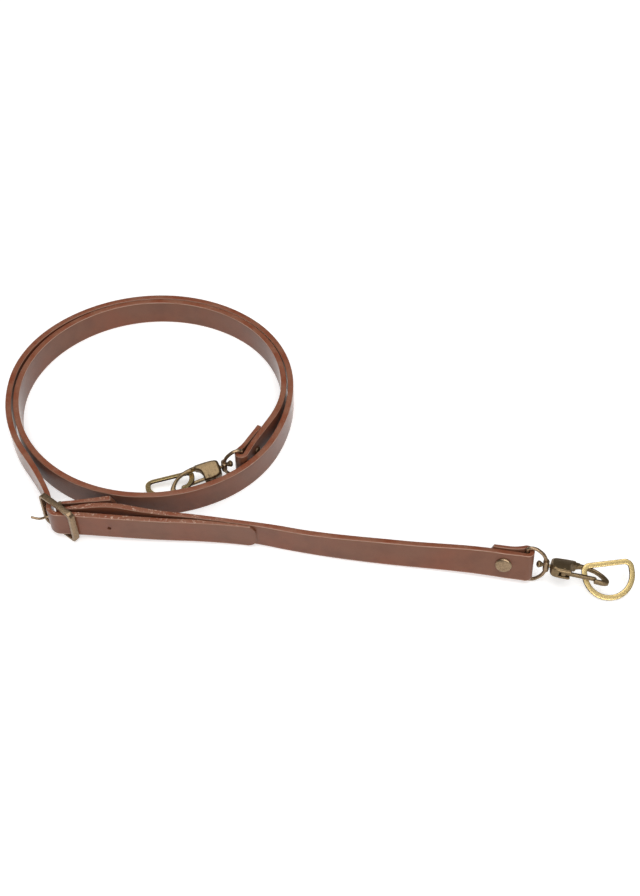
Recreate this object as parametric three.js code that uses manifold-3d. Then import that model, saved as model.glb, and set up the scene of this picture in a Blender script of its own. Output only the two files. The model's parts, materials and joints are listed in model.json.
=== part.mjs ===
// Leather bag strap: two straps joined by a centre-bar buckle, one long strap wound in a coil on
// its edge, a swivel snap hook with a D-ring at each end. Millimetres, +Z up, floor at z = 0.

import * as THREE from 'three';
import { mergeVertices } from 'three/addons/utils/BufferGeometryUtils.js';
import Module from 'manifold-3d';

const wasm = await Module();
wasm.setup();

// ---------------------------------------------------------------- driving dimensions

const STRAP = { width: 16, thick: 3.2, chamfer: 0.5, step: 6, foldStep: 1.2, tipRadius: 5 };

// A route is a chain of arcs along the strap's lower edge, seen from above. Each row gives the
// section's length, how far it turns to the left, and what holds at its far end: the lift off
// the floor, the lean of the top edge towards +Y, and the thickness of the leather.
const LONG_ROUTE = {
  start: [-26.3, -3.0], heading: 241, lift: 1.6, lean: 0, thick: 3.0,
  rows: [
    { part: 'flap',           length: 22,   turn: 1,   lift: 2.8, lean: 0, thick: 2.4 },
    { part: 'fold',           length: 8.4,  turn: 186, lift: 2.8, lean: 0, thick: 2.4 },
    { part: 'clasp end',      length: 30,   turn: -6,  lift: 1.2, lean: 0, thick: 3.2 },
    { part: 'inner right',    length: 30,   turn: 30,  lift: 0.4, lean: 0, thick: 3.2 },
    { part: 'inner back',     length: 60,   turn: 49,  lift: 0,   lean: 0, thick: 3.2 },
    { part: 'inner back',     length: 60,   turn: 43,  lift: 0,   lean: 0, thick: 3.2 },
    { part: 'inner left',     length: 60,   turn: 45,  lift: 0,   lean: 0, thick: 3.2 },
    { part: 'inner left',     length: 60,   turn: 48,  lift: 0,   lean: 0, thick: 3.2 },
    { part: 'front wall',     length: 60,   turn: 43,  lift: 0,   lean: 0, thick: 3.2 },
    { part: 'front wall',     length: 60,   turn: 43,  lift: 0,   lean: 0, thick: 3.2 },
    { part: 'front wall',     length: 40,   turn: 29,  lift: 0,   lean: 0, thick: 3.2 },
    { part: 'front right',    length: 40,   turn: 34,  lift: 0,   lean: 0, thick: 3.2 },
    { part: 'outer right',    length: 40.6, turn: 25,  lift: 0,   lean: 0, thick: 3.2 },
    { part: 'outer back',     length: 60,   turn: 47,  lift: 0,   lean: 0, thick: 3.2 },
    { part: 'outer back',     length: 60,   turn: 41,  lift: 0,   lean: 0, thick: 3.2 },
    { part: 'outer left',     length: 60,   turn: 41,  lift: 0,   lean: 0, thick: 3.2 },
    { part: 'outer left',     length: 60,   turn: 48,  lift: 0.8, lean: 0, thick: 3.2 },
    { part: 'outer left',     length: 60,   turn: 37,  lift: 2.2, lean: 0, thick: 3.2 },
    { part: 'to the buckle',  length: 32,   turn: -9,  lift: 2.8, lean: 0, thick: 2.7 },
    { part: 'into buckle',    length: 9.9,  turn: -23, lift: 2.8, lean: 0, thick: 2.6 },
    { part: 'bend in buckle', length: 8,    turn: 86,  lift: 2.8, lean: 0, thick: 2.6 },
    { part: 'out of buckle',  length: 14,   turn: -4,  lift: 2.8, lean: 0, thick: 2.9 },
    { part: 'tongue',         length: 50,   turn: 3,   lift: 1.6, lean: 0, thick: 2.4 },
    { part: 'skived tip',     length: 39,   turn: -7,  lift: 0.8, lean: 0, thick: 1.0 },
  ],
};
const SHORT_ROUTE = {
  start: [-100.35, -54.85], heading: 189, lift: 2.8, lean: 0, thick: 3.0,
  rows: [
    { part: 'buckle flap',    length: 27,   turn: -3,  lift: 2.8, lean: 0,  thick: 1.6 },
    { part: 'buckle fold',    length: 6.5,  turn: 183, lift: 2.8, lean: 0,  thick: 1.6 },
    { part: 'out of buckle',  length: 14,   turn: -1,  lift: 2.8, lean: 0,  thick: 3.0 },
    { part: 'hump',           length: 20,   turn: -21, lift: 2.7, lean: 0,  thick: 3.0 },
    { part: 'to the tongue',  length: 26,   turn: 7,   lift: 2.2, lean: 0,  thick: 2.4 },
    { part: 'behind tongue',  length: 40,   turn: -3,  lift: 1.2, lean: 0,  thick: 2.4 },
    { part: 'past the tip',   length: 20,   turn: -4,  lift: 0.6, lean: 1,  thick: 3.0 },
    { part: 'middle',         length: 60,   turn: 6,   lift: 0.8, lean: 8,  thick: 3.0 },
    { part: 'right',          length: 50,   turn: -5,  lift: 2.2, lean: 15, thick: 3.0 },
    { part: 'clasp end',      length: 12,   turn: -1,  lift: 2.6, lean: 16, thick: 2.4 },
    { part: 'clasp fold',     length: 8.4,  turn: 184, lift: 2.6, lean: 16, thick: 2.4 },
    { part: 'clasp flap',     length: 17.5, turn: 1,   lift: 2.4, lean: 16, thick: 3.0 },
  ],
};

const RIVET = { cap: 4.2, capThick: 1.1, post: 1.4, hole: 1.8, gap: 0.4, fromFold: 11, height: 8.6 };
const BUCKLE_RIVET = { cap: 3, fromFold: 12 };
const BUCKLE = {
  centre: [-128.75, -61.9], heading: -39.4, length: 23.7, height: 22.2, side: 1.6, rail: 1.6,
  thick: 2.7, corner: 3.2, bar: 0.85, barSetBack: 2.4, barShift: 0.5, lug: 2.6,
};
const PRONG = { wire: 0.65, hole: 1.15, height: 10.8, slotHeight: 2.6 };
const TONGUE_HOLE = { radius: 0.85, fromTip: 78.5, height: 8 };

const EYE = { wire: 1, height: 19.2, depth: 10, collar: [3.2, 4.8, 6], bore: 1.4 };
const HOOK = {
  stem: 0.8, sleeve: 1.3, shank: 1.9, head: 1.8, bodyThick: 5.2, shoulderThick: 3.7, armThick: 2.5,
};
const GATE = { hinge: [9, -3.1], boss: 1.8, bore: 0.95, pin: 0.6, thick: 2, width: 1.6, end: 25.6 };
const RING = { width: 27, depth: 20, band: 2.7, thick: 1.4, corner: 4 };

// Where each hook and D-ring lies. Angles in degrees: heading from above, then pitch
// (positive is nose down), then roll about its own long axis.
const CLASPS = [
  {
    name: 'long_end', eyeHeading: 197,
    hook: { heading: 199, pitch: 10, roll: 160 },
    ring: { at: [-74.1, -29.7, 4.6], heading: 12.3, pitch: -7, roll: -18 },
  },
  {
    name: 'short_end', eyeHeading: -10,
    hook: { heading: -10, pitch: 6, roll: -15 },
    ring: { at: [153.6, -91.5, 10.6], heading: 6.5, pitch: -2.3, roll: 32 },
  },
];

const LEATHER = { color: 0x8a5b46, roughness: 0.5, metalness: 0 };
const BRASS = { color: 0x8d7446, roughness: 0.38, metalness: 0.9 };
const BRIGHT_BRASS = { color: 0xc9a55c, roughness: 0.32, metalness: 0.9 };

// ---------------------------------------------------------------- helpers

const rad = THREE.MathUtils.degToRad;
const smooth = (t) => t * t * (3 - 2 * t);

function solid(geometry) {
  const bare = geometry.clone();
  bare.deleteAttribute('normal');
  bare.deleteAttribute('uv');
  const merged = mergeVertices(bare, 1e-4);
  return new wasm.Manifold(new wasm.Mesh({
    numProp: 3,
    vertProperties: new Float32Array(merged.attributes.position.array),
    triVerts: new Uint32Array(merged.index.array),
  }));
}

function geometryOf(manifold) {
  const { vertProperties, triVerts } = manifold.getMesh();
  const geometry = new THREE.BufferGeometry();
  geometry.setAttribute('position', new THREE.BufferAttribute(vertProperties, 3));
  geometry.setIndex(new THREE.BufferAttribute(triVerts, 1));
  geometry.computeVertexNormals();
  return geometry;
}

const join = (first, ...others) => others.reduce((sum, one) => sum.add(one), first);
const cut = (body, ...tools) => tools.reduce((rest, tool) => rest.subtract(tool), body);

function mesh(name, geometry, finish) {
  const piece = new THREE.Mesh(geometry, new THREE.MeshStandardMaterial(finish));
  piece.name = name;
  return piece;
}

// A cylinder between two points.
function rod(from, to, radius, sides = 16) {
  const a = new THREE.Vector3(...from);
  const b = new THREE.Vector3(...to);
  const along = b.clone().sub(a);
  const geometry = new THREE.CylinderGeometry(radius, radius, along.length(), sides);
  const turn = new THREE.Quaternion().setFromUnitVectors(new THREE.Vector3(0, 1, 0), along.clone().normalize());
  geometry.applyQuaternion(turn);
  geometry.translate(...a.add(b).multiplyScalar(0.5).toArray());
  return geometry;
}

// A round wire along an open smooth path.
function wire(path, radius, steps, sides = 10) {
  const section = new THREE.Shape();
  section.absarc(0, 0, radius, 0, 2 * Math.PI);
  return new THREE.ExtrudeGeometry(section, {
    steps, curveSegments: sides / 2, extrudePath: path, bevelEnabled: false,
  });
}

// Points along a smooth curve through the given ones, and a shape from such runs of points.
const curve = (points, count) => new THREE.SplineCurve(points.map(([x, y]) => new THREE.Vector2(x, y)))
  .getPoints(count).map(({ x, y }) => [x, y]);
const outline = (...runs) => new THREE.Shape(runs.flat().map(([x, y]) => new THREE.Vector2(x, y)));

// A flat plate from an outline in the XY plane, centred on z = 0, with eased edges.
function plate(shape, thick, ease = 0.3, curveSegments = 8) {
  const geometry = new THREE.ExtrudeGeometry(shape, {
    depth: thick - 2 * ease, curveSegments,
    bevelThickness: ease, bevelSize: ease, bevelOffset: -ease, bevelSegments: 1,
  });
  return geometry.translate(0, 0, ease - thick / 2);
}

function roundedBox(size, radius) {
  const [length, width] = size;
  const shape = new THREE.Shape();
  shape.absarc(length / 2 - radius, width / 2 - radius, radius, 0, Math.PI / 2);
  shape.absarc(radius - length / 2, width / 2 - radius, radius, Math.PI / 2, Math.PI);
  shape.absarc(radius - length / 2, radius - width / 2, radius, Math.PI, 1.5 * Math.PI);
  shape.absarc(length / 2 - radius, radius - width / 2, radius, 1.5 * Math.PI, 2 * Math.PI);
  shape.closePath();
  return shape;
}

// ---------------------------------------------------------------- the straps

// The route's frame at a distance along it: the foot point under the middle of the leather, the
// heading, the strap's up direction, its left normal and its thickness.
function routeAt(route, distance) {
  let [x, y] = route.start;
  let heading = rad(route.heading);
  let before = route;
  let left = distance;
  for (const row of route.rows) {
    const run = Math.min(left, row.length);
    const bend = rad(row.turn) / row.length;
    const chord = bend === 0 ? run : 2 * Math.sin((bend * run) / 2) / bend;
    x += chord * Math.cos(heading + (bend * run) / 2);
    y += chord * Math.sin(heading + (bend * run) / 2);
    heading += bend * run;
    left -= run;
    if (left <= 1e-9) {
      const mix = smooth(run / row.length);
      const lean = rad(THREE.MathUtils.lerp(before.lean, row.lean, mix));
      const along = new THREE.Vector3(Math.cos(heading), Math.sin(heading), 0);
      const up = new THREE.Vector3(0, Math.sin(lean), Math.cos(lean));
      return {
        foot: new THREE.Vector3(x, y, THREE.MathUtils.lerp(before.lift, row.lift, mix)),
        along, up, normal: up.clone().cross(along).normalize(),
        thick: THREE.MathUtils.lerp(before.thick, row.thick, mix),
      };
    }
    before = row;
  }
  throw new Error('distance is past the end of the route');
}

const routeLength = (route) => route.rows.reduce((sum, row) => sum + row.length, 0);

// Distance to where a named section starts.
function startOf(route, part) {
  const index = route.rows.findIndex((row) => row.part === part);
  return route.rows.slice(0, index).reduce((sum, row) => sum + row.length, 0);
}

// A point of the leather: across is -1 on its right face and 1 on its left, height is from its
// lower edge.
function onStrap(route, distance, across, height) {
  const { foot, up, normal, thick } = routeAt(route, distance);
  return foot.addScaledVector(normal, (across * thick) / 2).addScaledVector(up, height);
}

// Stations along the route, close together where it folds and towards a rounded tip.
function stations(route, rounded) {
  const marks = [0];
  let at = 0;
  for (const { length, turn } of route.rows) {
    const tight = Math.abs(turn) / length > 5;
    const count = Math.ceil(length / (tight ? STRAP.foldStep : STRAP.step));
    for (let i = 1; i <= count; i += 1) marks.push(at + (length * i) / count);
    at += length;
  }
  if (!rounded) return marks;
  const tip = marks.filter((mark) => mark < at - STRAP.tipRadius);
  for (let i = 0; i <= 5; i += 1) tip.push(at - STRAP.tipRadius * (1 - Math.sin((i * Math.PI) / 10)));
  return tip;
}

// Half of what a rounded tip has lost in width at a distance.
function tipLoss(route, distance) {
  const inset = Math.max(0, distance - (routeLength(route) - STRAP.tipRadius));
  return STRAP.tipRadius - Math.sqrt(STRAP.tipRadius ** 2 - inset ** 2);
}

// The strap is a straight extrusion of its eased section, one step per station, then each
// vertex is carried to its place on the route.
function strap(route, rounded) {
  const marks = stations(route, rounded);
  const { width, chamfer } = STRAP;
  const edge = chamfer / width;
  const side = 1 - (2 * chamfer) / STRAP.thick;
  const section = new THREE.Shape([
    [-1, edge], [-side, 0], [side, 0], [1, edge], [1, 1 - edge], [side, 1], [-side, 1], [-1, 1 - edge],
  ].map(([across, height]) => new THREE.Vector2(across, height)));
  const geometry = new THREE.ExtrudeGeometry(section, {
    steps: marks.length - 1, depth: marks.length - 1, bevelEnabled: false,
  });
  const place = geometry.attributes.position;
  for (let i = 0; i < place.count; i += 1) {
    const distance = marks[Math.round(place.getZ(i))];
    const loss = rounded ? tipLoss(route, distance) : 0;
    const height = loss + place.getY(i) * (width - 2 * loss);
    const point = onStrap(route, distance, place.getX(i), height);
    place.setXYZ(i, point.x, point.y, point.z);
  }
  return solid(geometry);
}

// A round hole straight through the leather at a distance and height.
function punch(route, distance, height, radius, reach = 4) {
  const { normal } = routeAt(route, distance);
  const middle = onStrap(route, distance, 0, height);
  const from = middle.clone().addScaledVector(normal, -reach);
  const to = middle.clone().addScaledVector(normal, reach);
  return solid(rod(from.toArray(), to.toArray(), radius, 14));
}

// A rivet through both layers beside a fold: its axis runs square to them, from a point on the
// main layer's outer face to the flap's outer face.
function rivetSeat(route, fold, gapToFold, mainAfterFold, height) {
  const foldStart = startOf(route, fold);
  const foldEnd = foldStart + route.rows.find((row) => row.part === fold).length;
  const main = mainAfterFold ? foldEnd + gapToFold : foldStart - gapToFold;
  const flap = mainAfterFold ? foldStart - gapToFold : foldEnd + gapToFold;
  const front = onStrap(route, main, -1, height);
  const across = routeAt(route, flap).normal;
  const axis = routeAt(route, main).normal.sub(across).normalize();
  const reach = onStrap(route, flap, -1, height).sub(front).dot(across) / axis.dot(across);
  return { front, back: front.clone().addScaledVector(axis, reach) };
}

function rivet({ front, back }, cap) {
  const grip = front.distanceTo(back) + 2 * RIVET.gap;
  const { capThick, post } = RIVET;
  const profile = [
    [0, -capThick], [0.86 * cap, -0.9 * capThick], [cap, -0.45 * capThick], [cap, 0], [post, 0],
    [post, grip], [cap, grip], [cap, grip + 0.45 * capThick], [0.86 * cap, grip + 0.9 * capThick],
    [0, grip + capThick],
  ].map(([r, h]) => new THREE.Vector2(r, h));
  const geometry = new THREE.LatheGeometry(profile, 14);
  const axis = back.clone().sub(front).normalize();
  geometry.applyQuaternion(new THREE.Quaternion().setFromUnitVectors(new THREE.Vector3(0, 1, 0), axis));
  const origin = front.clone().addScaledVector(axis, -RIVET.gap);
  return geometry.translate(origin.x, origin.y, origin.z);
}

function rivetHole({ front, back }) {
  const axis = back.clone().sub(front).normalize();
  const from = front.clone().addScaledVector(axis, -2);
  const to = back.clone().addScaledVector(axis, 2);
  return solid(rod(from.toArray(), to.toArray(), RIVET.hole, 14));
}

// ---------------------------------------------------------------- the buckle

function buckleFrame() {
  const { length, height, side, rail, thick, corner, bar, barSetBack, barShift, lug } = BUCKLE;
  const outer = roundedBox([length, height], corner);
  const window = roundedBox([length - 2 * side, height - 2 * rail], corner - side);
  outer.holes.push(window);
  const frame = solid(plate(outer, thick, 0.35, 4));
  const lugSeat = (end) => {
    const block = new THREE.BoxGeometry(lug, rail - 0.3, barSetBack + bar);
    return solid(block.translate(barShift, end * (height - rail) / 2, -(barSetBack + bar) / 2));
  };
  const reach = height / 2 - rail / 2;
  const post = solid(rod([barShift, -reach, -barSetBack], [barShift, reach, -barSetBack], bar, 12));
  return geometryOf(join(frame, lugSeat(-1), lugSeat(1), post));
}

// The prong is a wire bent round the centre bar, out through its hole in the long strap.
function prongPath() {
  const [x, y] = barCentre();
  const around = PRONG.wire + BUCKLE.bar + 0.45;
  const points = [];
  for (const angle of [200, 260, 320, 20, 80, 125]) {
    const a = rad(angle - 40);
    points.push(new THREE.Vector3(x + around * Math.cos(a), y + around * Math.sin(a), PRONG.height));
  }
  points.push(new THREE.Vector3(x - 3.6, y + 0.75, PRONG.height));
  points.push(new THREE.Vector3(x - 8.2, y - 1.2, PRONG.height));
  points.push(new THREE.Vector3(x - 12.4, y - 1.7, PRONG.height - 1));
  points.push(new THREE.Vector3(x - 16.6, y - 1.4, PRONG.height));
  return new THREE.CatmullRomCurve3(points);
}

function barCentre() {
  const along = rad(BUCKLE.heading);
  const [x, y] = BUCKLE.centre;
  const { barShift: shift, barSetBack: back } = BUCKLE;
  return [
    x + shift * Math.cos(along) - back * Math.sin(along),
    y + shift * Math.sin(along) + back * Math.cos(along),
  ];
}

// ---------------------------------------------------------------- the swivel clasps

// The eye's bar lies on the local Z axis, its bow reaches along +X to a collar that the hook's
// stem runs through.
function swivelEye() {
  const { wire: r, height, depth, collar, bore } = EYE;
  const top = height / 2;
  const loop = new THREE.CurvePath();
  const point = (x, z) => new THREE.Vector3(x, 0, z);
  const bow = new THREE.CatmullRomCurve3([
    point(depth, 0.4), point(depth - 0.15, 3), point(depth - 1.7, 6.4), point(5.2, top - 0.7),
    point(3, top), point(1.6, top), point(0.45, top - 0.45), point(0, top - 1.6), point(0, 4),
    point(0, 0),
  ]);
  loop.add(bow);
  const half = wire(loop, r, 18, 8);
  const mirrored = half.clone().rotateX(Math.PI);
  const barrel = new THREE.CylinderGeometry(collar[0] / 2, collar[0] / 2, collar[2], 12);
  barrel.rotateX(Math.PI / 2).scale(1, collar[1] / collar[0], 1).translate(depth, 0, 0);
  const hole = rod([depth - 4, 0, 0], [depth + 4, 0, 0], bore, 14);
  return geometryOf(cut(join(solid(half), solid(mirrored), solid(barrel)), solid(hole)));
}

// The hook lies in its local XY plane: stem along X from the collar's centre, arm on the +Y side,
// gate on the -Y side, nose at the far end.
function hookBody() {
  const block = outline(
    curve([[2.9, -2.4], [3.4, -4], [5.2, -4.9], [9, -5.1]], 6),
    curve([[12.4, -4.9], [12.4, -1.4], [12.8, 0.6], [13.9, 2.2], [15.6, 3.1]], 8),
    curve([[15, 5.5], [10, 5.3], [5.2, 4.7], [3.4, 3.8], [2.9, 2.4]], 7),
  );
  const shoulder = outline(
    curve([[9, 5.1], [12.5, 5.5], [15, 5.5], [17.6, 5.3]], 4),
    curve([[17.6, 4], [16, 3.4], [14.2, 2.3], [12.9, 0.6]], 4),
  );
  const arm = outline(
    curve([
      [9, 5], [14, 5.6], [19, 5.4], [24, 4.3], [28, 1.9], [31, -1.2], [32, -3.6], [31.2, -5.5], [28.6, -6.2],
    ], 14),
    [[24.4, -5.8], [24.4, -4.1]],
    curve([[27.6, -4], [29, -3.2], [28.5, -1.1], [25.8, 1.7], [22, 3.1], [17, 3.4], [12, 2.2]], 11),
    [[9, 1.6]],
  );

  const [px, py] = GATE.hinge;
  const { pin, thick } = GATE;
  const half = HOOK.bodyThick / 2;
  const slot = new THREE.BoxGeometry(8, 7, thick + 0.7).translate(px + 1.4, -2.4, 0);
  return geometryOf(join(
    cut(join(
      solid(plate(block, HOOK.bodyThick, 0.7)),
      solid(plate(shoulder, HOOK.shoulderThick, 0.6)),
      solid(plate(arm, HOOK.armThick, 0.5, 5)),
    ), solid(slot)),
    solid(rod([px, py, -half - 0.15], [px, py, half + 0.15], pin, 12)),
    solid(rod([-3, 0, 0], [4, 0, 0], HOOK.stem, 12)),
    solid(rod([-3, 0, 0], [-2.1, 0, 0], HOOK.sleeve, 12)),
    solid(rod([2.3, 0, 0], [3.8, 0, 0], HOOK.shank, 12)),
    solid(new THREE.SphereGeometry(HOOK.head, 12, 7).scale(0.75, 1, 1).translate(-3.6, 0, 0)),
  ));
}

// The gate turns on the hook's pin, which is its local origin.
function hookGate() {
  const { boss, bore, thick, width, end, hinge } = GATE;
  const outer = -3.9 - hinge[1];
  const tip = end - hinge[0];
  const blade = outline([
    [0, outer], [tip - 0.5, outer], [tip, outer + 0.5], [tip, outer + width - 0.4],
    [tip - 1, outer + width], [1, outer + width],
  ]);
  const root = solid(rod([0, 0, -thick / 2], [0, 0, thick / 2], boss, 16));
  const hole = solid(rod([0, 0, -thick], [0, 0, thick], bore, 14));
  return geometryOf(cut(join(solid(plate(blade, thick, 0.3)), root), hole));
}

// The ring's straight side runs along X through the origin, its bow hangs towards -Y.
function dRing() {
  const { width, depth, band, thick, corner } = RING;
  const loop = (inset) => {
    const half = width / 2 - inset;
    const top = band / 2 - inset;
    const round = corner - 0.6 * inset;
    const bowTop = band / 2 + width / 2 - depth;
    const shape = new THREE.Shape();
    shape.moveTo(round - half, top);
    shape.absarc(round - half, top - round, round, Math.PI / 2, Math.PI);
    shape.absarc(0, bowTop, half, Math.PI, 2 * Math.PI);
    shape.absarc(half - round, top - round, round, 0, Math.PI / 2);
    shape.closePath();
    return shape;
  };
  const shape = loop(0);
  shape.holes.push(loop(band));
  return plate(shape, thick, 0.3, 6);
}

// ---------------------------------------------------------------- assembly

function setAngles(object, { heading, pitch = 0, roll = 0 }) {
  object.rotation.set(rad(roll), rad(pitch), rad(heading), 'ZYX');
}

// The eye hangs in the middle of a fold; the hook's stem starts at the eye's collar, tilted in
// the collar's loose bore; the gate sits in the hook.
function clasp({ name, eyeHeading, hook, ring }, route, foldPart) {
  const fold = route.rows.find((row) => row.part === foldPart);
  const middle = startOf(route, foldPart) + fold.length / 2;
  const { foot, up, along } = routeAt(route, middle);
  const radius = fold.length / rad(fold.turn);
  const level = new THREE.Vector3(-along.y, along.x, 0);
  const centre = foot.addScaledVector(level, radius).addScaledVector(up, STRAP.width / 2);
  const lean = Math.atan2(up.y, up.z);

  const seat = new THREE.Group();
  seat.position.copy(centre);
  seat.rotation.x = -lean;
  const eye = mesh(`${name}_swivel_eye`, swivelEye(), BRASS);
  eye.rotation.z = rad(eyeHeading);
  seat.add(eye);
  seat.updateMatrixWorld(true);

  const hookGroup = new THREE.Group();
  hookGroup.position.copy(eye.localToWorld(new THREE.Vector3(EYE.depth, 0, 0)));
  setAngles(hookGroup, hook);
  hookGroup.add(mesh(`${name}_hook_body`, hookBody(), BRASS));
  const gate = mesh(`${name}_hook_gate`, hookGate(), BRASS);
  gate.position.set(...GATE.hinge, 0);
  hookGroup.add(gate);

  const loose = mesh(`${name}_d_ring`, dRing(), BRIGHT_BRASS);
  loose.position.set(...ring.at);
  setAngles(loose, ring);

  const group = new THREE.Group();
  group.add(seat, hookGroup, loose);
  return group;
}

function bagStrap() {
  const group = new THREE.Group();
  const rivetSeats = {
    long: rivetSeat(LONG_ROUTE, 'fold', RIVET.fromFold, true, RIVET.height),
    short: rivetSeat(SHORT_ROUTE, 'clasp fold', RIVET.fromFold, false, RIVET.height),
    buckle: rivetSeat(SHORT_ROUTE, 'buckle fold', BUCKLE_RIVET.fromFold, true, STRAP.width / 2),
  };

  const path = prongPath();
  const prongHole = solid(wire(path, PRONG.hole, 24, 8));
  const tongueHole = routeLength(LONG_ROUTE) - TONGUE_HOLE.fromTip;
  group.add(mesh('strap_long', geometryOf(cut(
    strap(LONG_ROUTE, true),
    rivetHole(rivetSeats.long),
    punch(LONG_ROUTE, tongueHole, TONGUE_HOLE.height, TONGUE_HOLE.radius),
    prongHole,
  )), LEATHER));

  const [barX, barY] = barCentre();
  const prongSlot = new THREE.BoxGeometry(8, 8, PRONG.slotHeight).translate(barX - 1, barY, PRONG.height);
  group.add(mesh('strap_short', geometryOf(cut(
    strap(SHORT_ROUTE, false),
    rivetHole(rivetSeats.short),
    rivetHole(rivetSeats.buckle),
    solid(prongSlot),
  )), LEATHER));

  group.add(mesh('rivet_long_end', rivet(rivetSeats.long, RIVET.cap), BRASS));
  group.add(mesh('rivet_short_end', rivet(rivetSeats.short, RIVET.cap), BRASS));
  group.add(mesh('rivet_buckle', rivet(rivetSeats.buckle, BUCKLE_RIVET.cap), BRASS));

  const frame = mesh('buckle_frame', buckleFrame(), BRASS);
  frame.position.set(...BUCKLE.centre, BUCKLE.height / 2);
  frame.rotation.set(rad(90), 0, rad(BUCKLE.heading), 'ZYX');
  group.add(frame);
  group.add(mesh('buckle_prong', wire(path, PRONG.wire, 25, 8), BRASS));

  group.add(clasp(CLASPS[0], LONG_ROUTE, 'fold'));
  group.add(clasp(CLASPS[1], SHORT_ROUTE, 'clasp fold'));

  const box = new THREE.Box3().setFromObject(group, true);
  const centre = box.getCenter(new THREE.Vector3());
  group.position.set(-centre.x, -centre.y, -box.min.z);
  return group;
}

export default bagStrap();
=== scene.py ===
"""Leather bag strap: two straps joined by a buckle, with a snap hook and a D-ring at each end."""

import json
import math

import bpy
from mathutils import Euler, Matrix, Vector


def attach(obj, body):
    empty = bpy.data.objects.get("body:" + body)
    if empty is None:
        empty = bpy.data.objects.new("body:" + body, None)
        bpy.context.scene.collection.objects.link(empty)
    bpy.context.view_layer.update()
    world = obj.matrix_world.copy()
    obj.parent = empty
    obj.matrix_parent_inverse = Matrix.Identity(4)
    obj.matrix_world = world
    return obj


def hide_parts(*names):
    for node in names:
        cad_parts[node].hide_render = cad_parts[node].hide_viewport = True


bl_info = {
    "name": "Leather Bag Strap",
    "version": (1, 0, 0),
    "blender": (4, 5, 0),
    "location": "View3D > Sidebar > Bag Strap",
    "description": "Dresses a leather bag strap and its brass fittings on the fixed frame",
    "category": "Object",
}

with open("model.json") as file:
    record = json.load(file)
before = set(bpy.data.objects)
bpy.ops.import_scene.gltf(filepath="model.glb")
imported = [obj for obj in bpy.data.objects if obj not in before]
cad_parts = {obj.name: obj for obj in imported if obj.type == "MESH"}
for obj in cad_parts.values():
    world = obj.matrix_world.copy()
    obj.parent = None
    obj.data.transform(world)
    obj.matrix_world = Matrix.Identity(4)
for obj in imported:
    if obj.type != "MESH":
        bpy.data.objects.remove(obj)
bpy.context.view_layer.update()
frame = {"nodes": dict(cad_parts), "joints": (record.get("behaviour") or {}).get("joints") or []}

MM = 0.001
ROUTE_ORIGIN = Vector((1.252, 0.362, 0.0))

# Rows of a route: name, length, turn to the left, then the lift, lean and thickness of the leather
# at the row's far end, in millimetres and degrees. They follow the solids, but the flaps at the
# clasps are pressed a little closer to their straps, as soft leather is.
LONG_ROUTE = {
    "start": (-25.503, -2.793), "heading": 243, "lift": 1.6, "lean": 0, "thick": 2.4,
    "rows": (
        ("flap", 15, -1, 2.4, 0, 2.2),
        ("flap bend", 7, -14, 2.8, 0, 2.2),
        ("fold", 9.03, 200, 2.8, 0, 2.4),
        ("clasp end", 30, -6, 1.2, 0, 3.2),
        ("inner right", 30, 30, 0.4, 0, 3.2),
        ("inner back", 60, 49, 0, 0, 3.2),
        ("inner back", 60, 43, 0, 0, 3.2),
        ("inner left", 60, 45, 0, 0, 3.2),
        ("inner left", 60, 48, 0, 0, 3.2),
        ("front wall", 60, 43, 0, 0, 3.2),
        ("front wall", 60, 43, 0, 0, 3.2),
        ("front wall", 40, 29, 0, 0, 3.2),
        ("front right", 40, 34, 0, 0, 3.2),
        ("outer right", 40.6, 25, 0, 0, 3.2),
        ("outer back", 60, 47, 0, 0, 3.2),
        ("outer back", 60, 41, 0, 0, 3.2),
        ("outer left", 60, 41, 0, 0, 3.2),
        ("outer left", 60, 48, 0.8, 0, 3.2),
        ("outer left", 60, 37, 2.2, 0, 3.2),
        ("to the buckle", 32, -9, 2.8, 0, 2.7),
        ("into buckle", 9.9, -23, 2.8, 0, 2.6),
        ("bend in buckle", 8, 86, 2.8, 0, 2.6),
        ("out of buckle", 14, -4, 2.8, 0, 2.9),
        ("tongue", 50, 3, 1.6, 0, 2.4),
        ("skived tip", 39, -7, 0.8, 0, 1.0),
    ),
}
SHORT_ROUTE = {
    "start": (-98.868, -54.615), "heading": 189, "lift": 2.8, "lean": 0, "thick": 3.0,
    "rows": (
        ("buckle flap", 28.5, -3, 2.8, 0, 1.6),
        ("buckle fold", 6.5, 183, 2.8, 0, 1.6),
        ("out of buckle", 14, -1, 2.8, 0, 3.0),
        ("hump", 20, -21, 2.7, 0, 3.0),
        ("to the tongue", 26, 7, 2.2, 0, 2.4),
        ("behind tongue", 40, -3, 1.2, 0, 2.4),
        ("past the tip", 20, -4, 0.6, 1, 3.0),
        ("middle", 60, 6, 0.8, 8, 3.0),
        ("right", 50, -5, 2.2, 15, 3.0),
        ("clasp end", 12, -1, 2.6, 16, 2.4),
        ("clasp fold", 9.4, 206, 2.6, 16, 2.2),
        ("clasp flap bend", 8, -22, 2.5, 16, 1.9),
        ("clasp flap", 11.2, -3, 2.4, 16, 1.8),
    ),
}

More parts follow.
